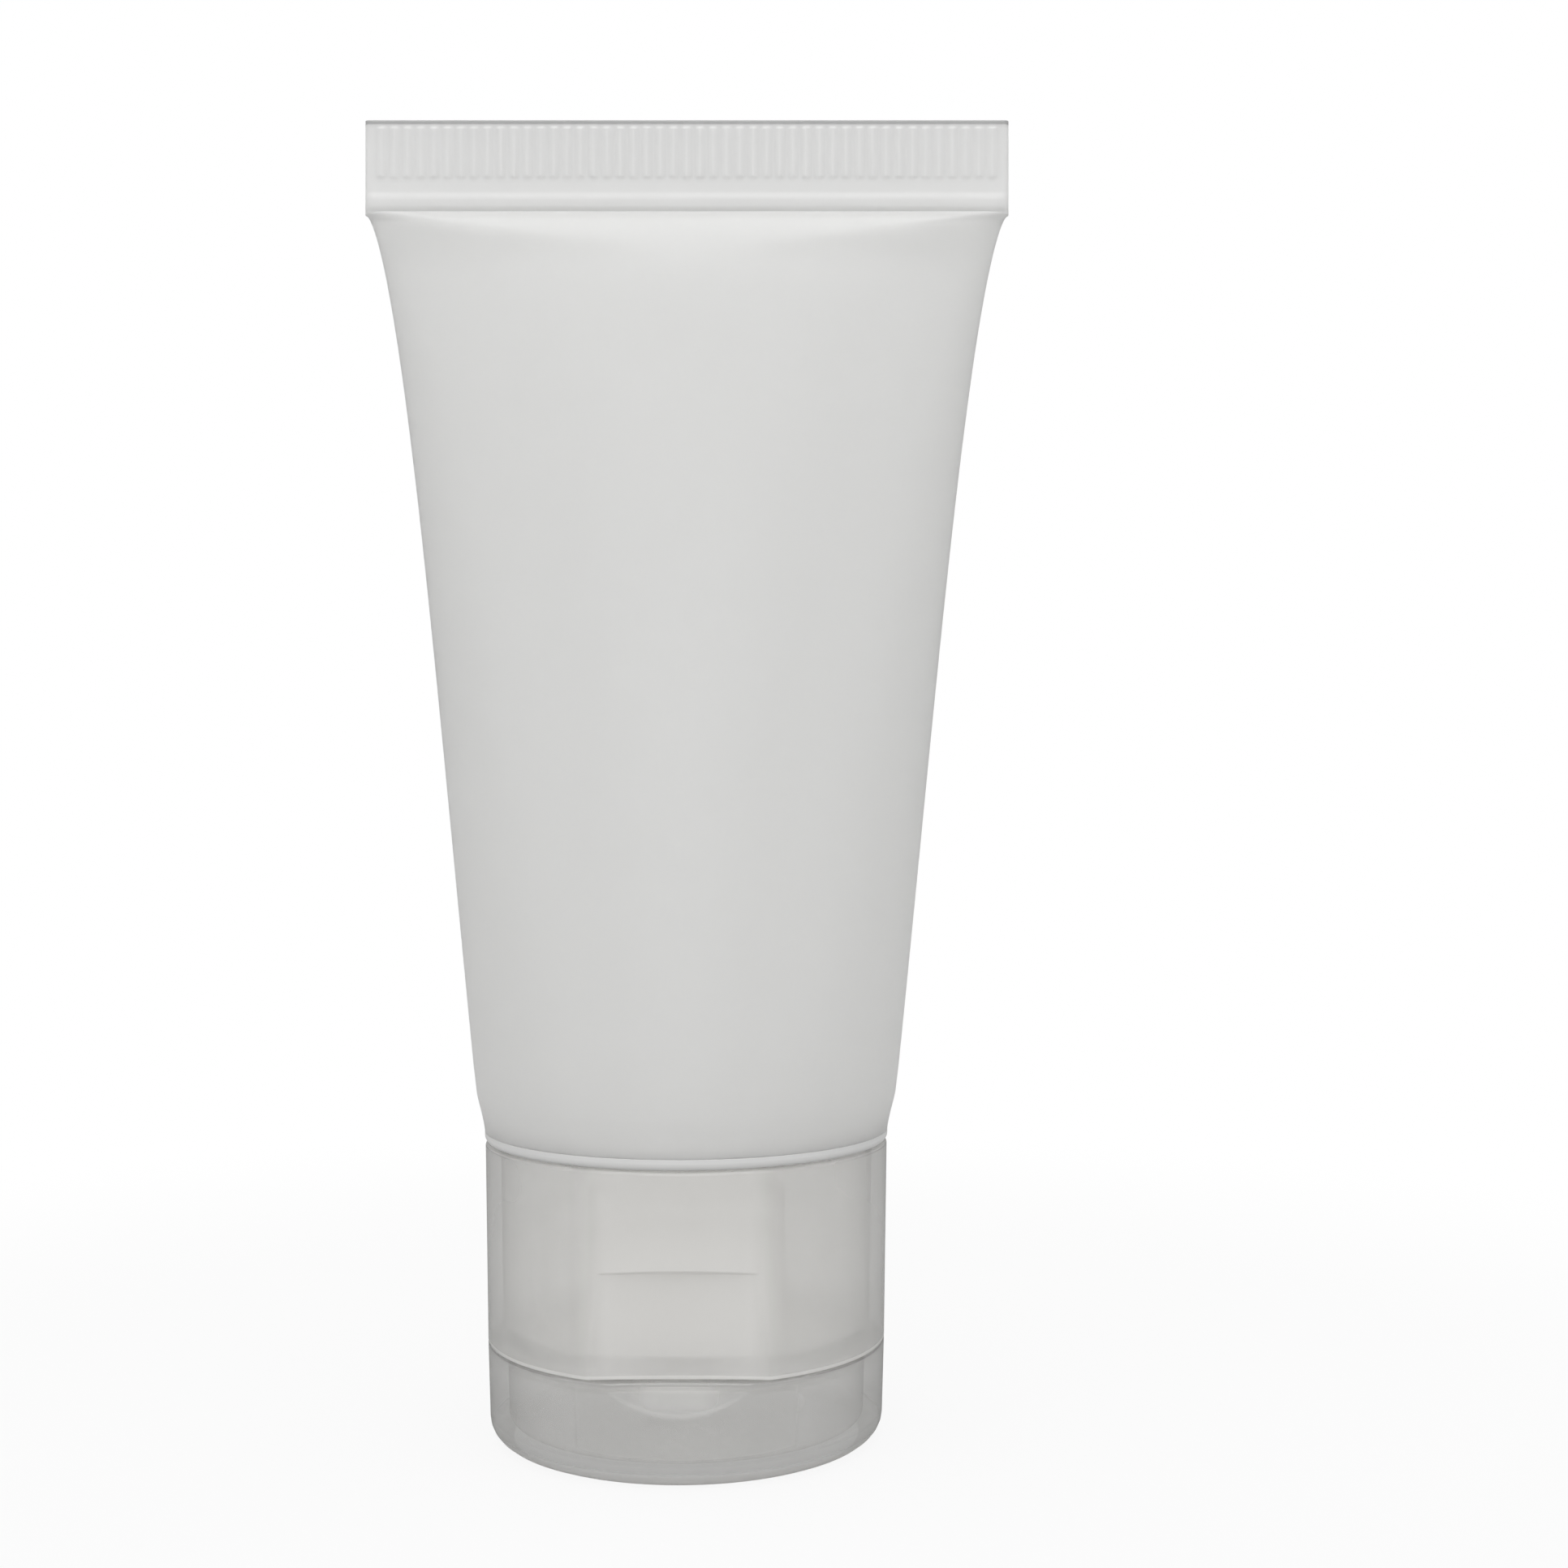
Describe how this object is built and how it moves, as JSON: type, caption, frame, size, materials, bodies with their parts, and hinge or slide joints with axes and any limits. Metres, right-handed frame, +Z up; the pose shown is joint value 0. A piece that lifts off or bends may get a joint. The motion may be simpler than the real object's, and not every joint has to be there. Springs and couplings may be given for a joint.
{
  "type": "travel squeeze tube",
  "caption": "Soft squeeze tube for travel toiletries, round at its screw cap and sealed flat at the far end, with a flip lid on a moulded hinge. It stands on its lid.",
  "frame": {"origin": "centre of the lid's flat face, which the tube stands on", "axes": "+Z up the tube's axis to the flat seal, -Y to the front with the thumb notch, +Y to the hinge, X along the seal"},
  "size_m": [0.0472, 0.0294, 0.0957],
  "materials": {
    "frosted_sleeve": "soft milky polyethylene, frosted",
    "natural_head": "uncoloured moulded polyethylene",
    "clear_cap": "uncoloured polypropylene, see-through and slightly hazy"
  },
  "bodies": {
    "cap": {"screw_cap": "clear_cap", "hinge_strap": "clear_cap"},
    "tube": {"tube_sleeve": "frosted_sleeve", "tube_head": "natural_head"},
    "lid": {"flip_lid": "clear_cap"}
  },
  "joints": [
    {"name": "unscrew", "type": "slide", "parent": "cap", "child": "tube", "axis": [0, 0, 1], "range_m": [0, 0.015]},
    {"name": "lid_hinge", "type": "hinge", "parent": "cap", "child": "lid", "pos_m": [0, 0.01378, 0.00705], "axis": [1, 0, 0], "range_deg": [0, 140], "deforming": ["hinge_strap"]}
  ]
}
